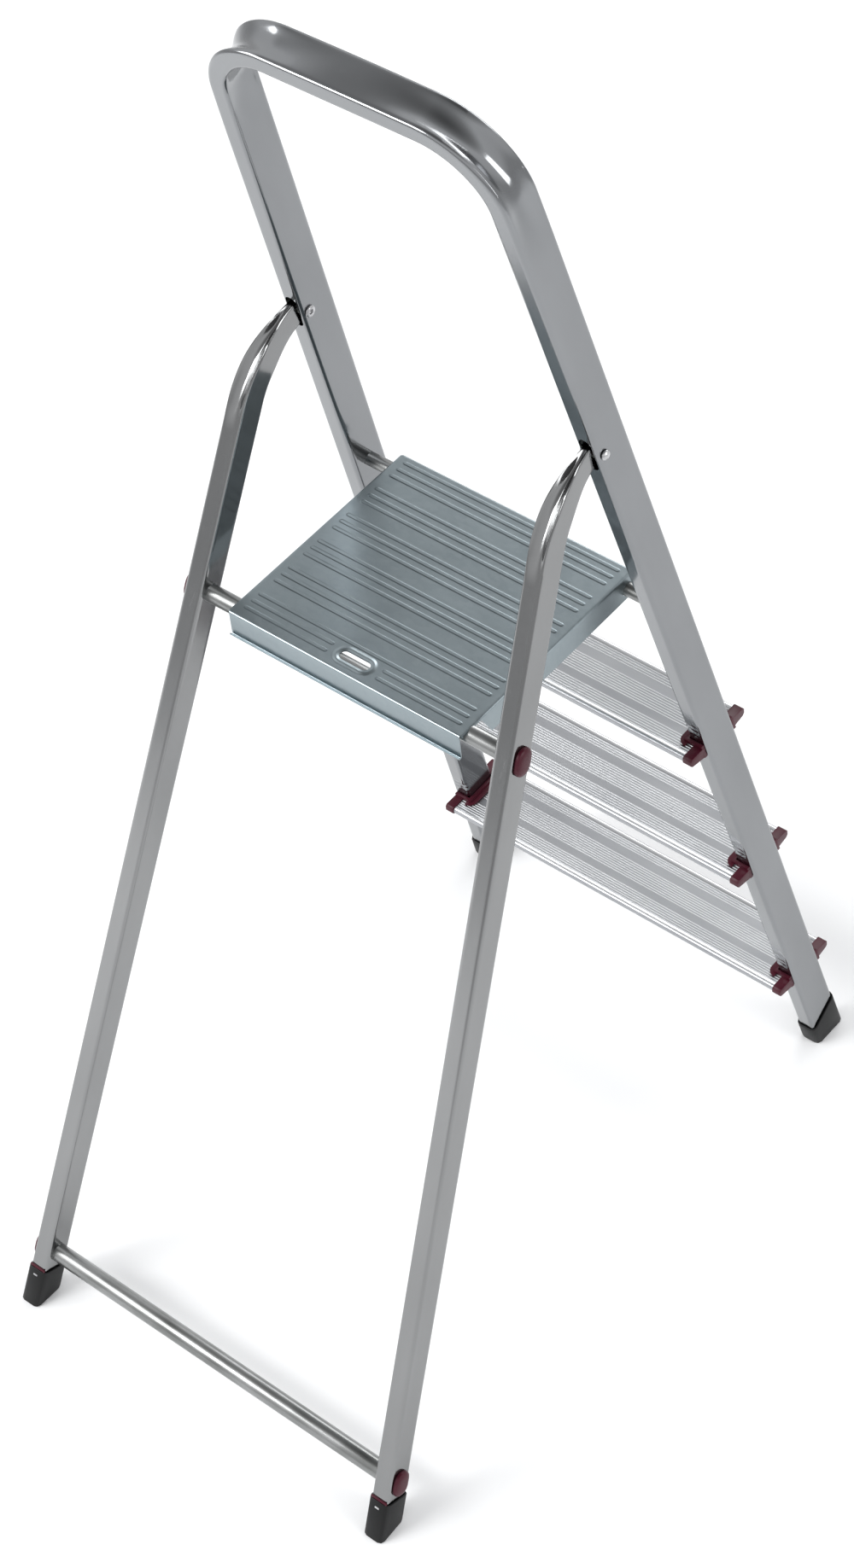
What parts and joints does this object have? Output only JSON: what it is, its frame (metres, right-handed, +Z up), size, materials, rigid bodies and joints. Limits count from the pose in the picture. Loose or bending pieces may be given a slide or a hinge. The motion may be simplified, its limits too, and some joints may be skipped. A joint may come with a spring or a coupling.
{
  "type": "step ladder",
  "caption": "Folding step ladder: one bent tube forms both stiles and a high guard hoop, with extruded treads, a pressed steel standing platform and a hinged rear frame.",
  "frame": {"origin": "centre of the open ladder's footprint, at floor level", "axes": "+Z up; +Y from the climbing side towards the rear legs; +X towards a climber's right"},
  "size_m": [0.4904, 0.799, 1.3964],
  "materials": {
    "frame_aluminium": "bright drawn tube, smooth with faint lengthwise drawing lines",
    "tread_aluminium": "mill-finish extrusion with fine lengthwise anti-slip ribs",
    "galvanised_sheet": "galvanised pressed sheet, bluish grey, satin, with embossed ribs",
    "zinc_tube": "zinc-plated steel tube, semi-bright",
    "rivet_steel": "plated rivet, semi-bright",
    "burgundy_plastic": "dark wine-red moulded plastic, satin",
    "black_plastic": "black moulded plastic, satin",
    "nylon": "natural nylon"
  },
  "bodies": {
    "stiles_and_treads": {"front_frame": "frame_aluminium", "platform_pivot_tube": "zinc_tube", "tread_1": "tread_aluminium", "tread_1_bracket_right": "burgundy_plastic", "tread_1_bracket_left": "burgundy_plastic", "tread_2": "tread_aluminium", "tread_2_bracket_right": "burgundy_plastic", "tread_2_bracket_left": "burgundy_plastic", "tread_3": "tread_aluminium", "tread_3_bracket_right": "burgundy_plastic", "tread_3_bracket_left": "burgundy_plastic", "front_foot_right": "black_plastic", "pivot_rivet_right": "rivet_steel", "pivot_washer_right_inner": "nylon", "pivot_washer_right_outer": "nylon", "front_foot_left": "black_plastic", "pivot_rivet_left": "rivet_steel", "pivot_washer_left_inner": "nylon", "pivot_washer_left_outer": "nylon"},
    "rear_frame": {"rear_leg_right": "frame_aluminium", "rear_foot_right": "black_plastic", "upper_tube_cap_right": "burgundy_plastic", "lower_tube_cap_right": "burgundy_plastic", "rear_leg_left": "frame_aluminium", "rear_foot_left": "black_plastic", "upper_tube_cap_left": "burgundy_plastic", "lower_tube_cap_left": "burgundy_plastic", "upper_rear_tube": "zinc_tube", "lower_rear_tube": "zinc_tube"},
    "standing_platform": {"platform": "galvanised_sheet"}
  },
  "joints": [
    {"name": "rear_frame_fold", "type": "hinge", "parent": "stiles_and_treads", "child": "rear_frame", "pos_m": [0, -0.12557, 1.019], "axis": [-1, 0, 0], "range_deg": [0, 36.4]},
    {"name": "platform_fold", "type": "hinge", "parent": "stiles_and_treads", "child": "standing_platform", "pos_m": [0, -0.19433, 0.7775], "axis": [1, 0, 0], "range_deg": [0, 70.5]}
  ],
  "couplings": [
    {"joint": "platform_fold", "follows": "rear_frame_fold", "ratio": 1.923}
  ]
}
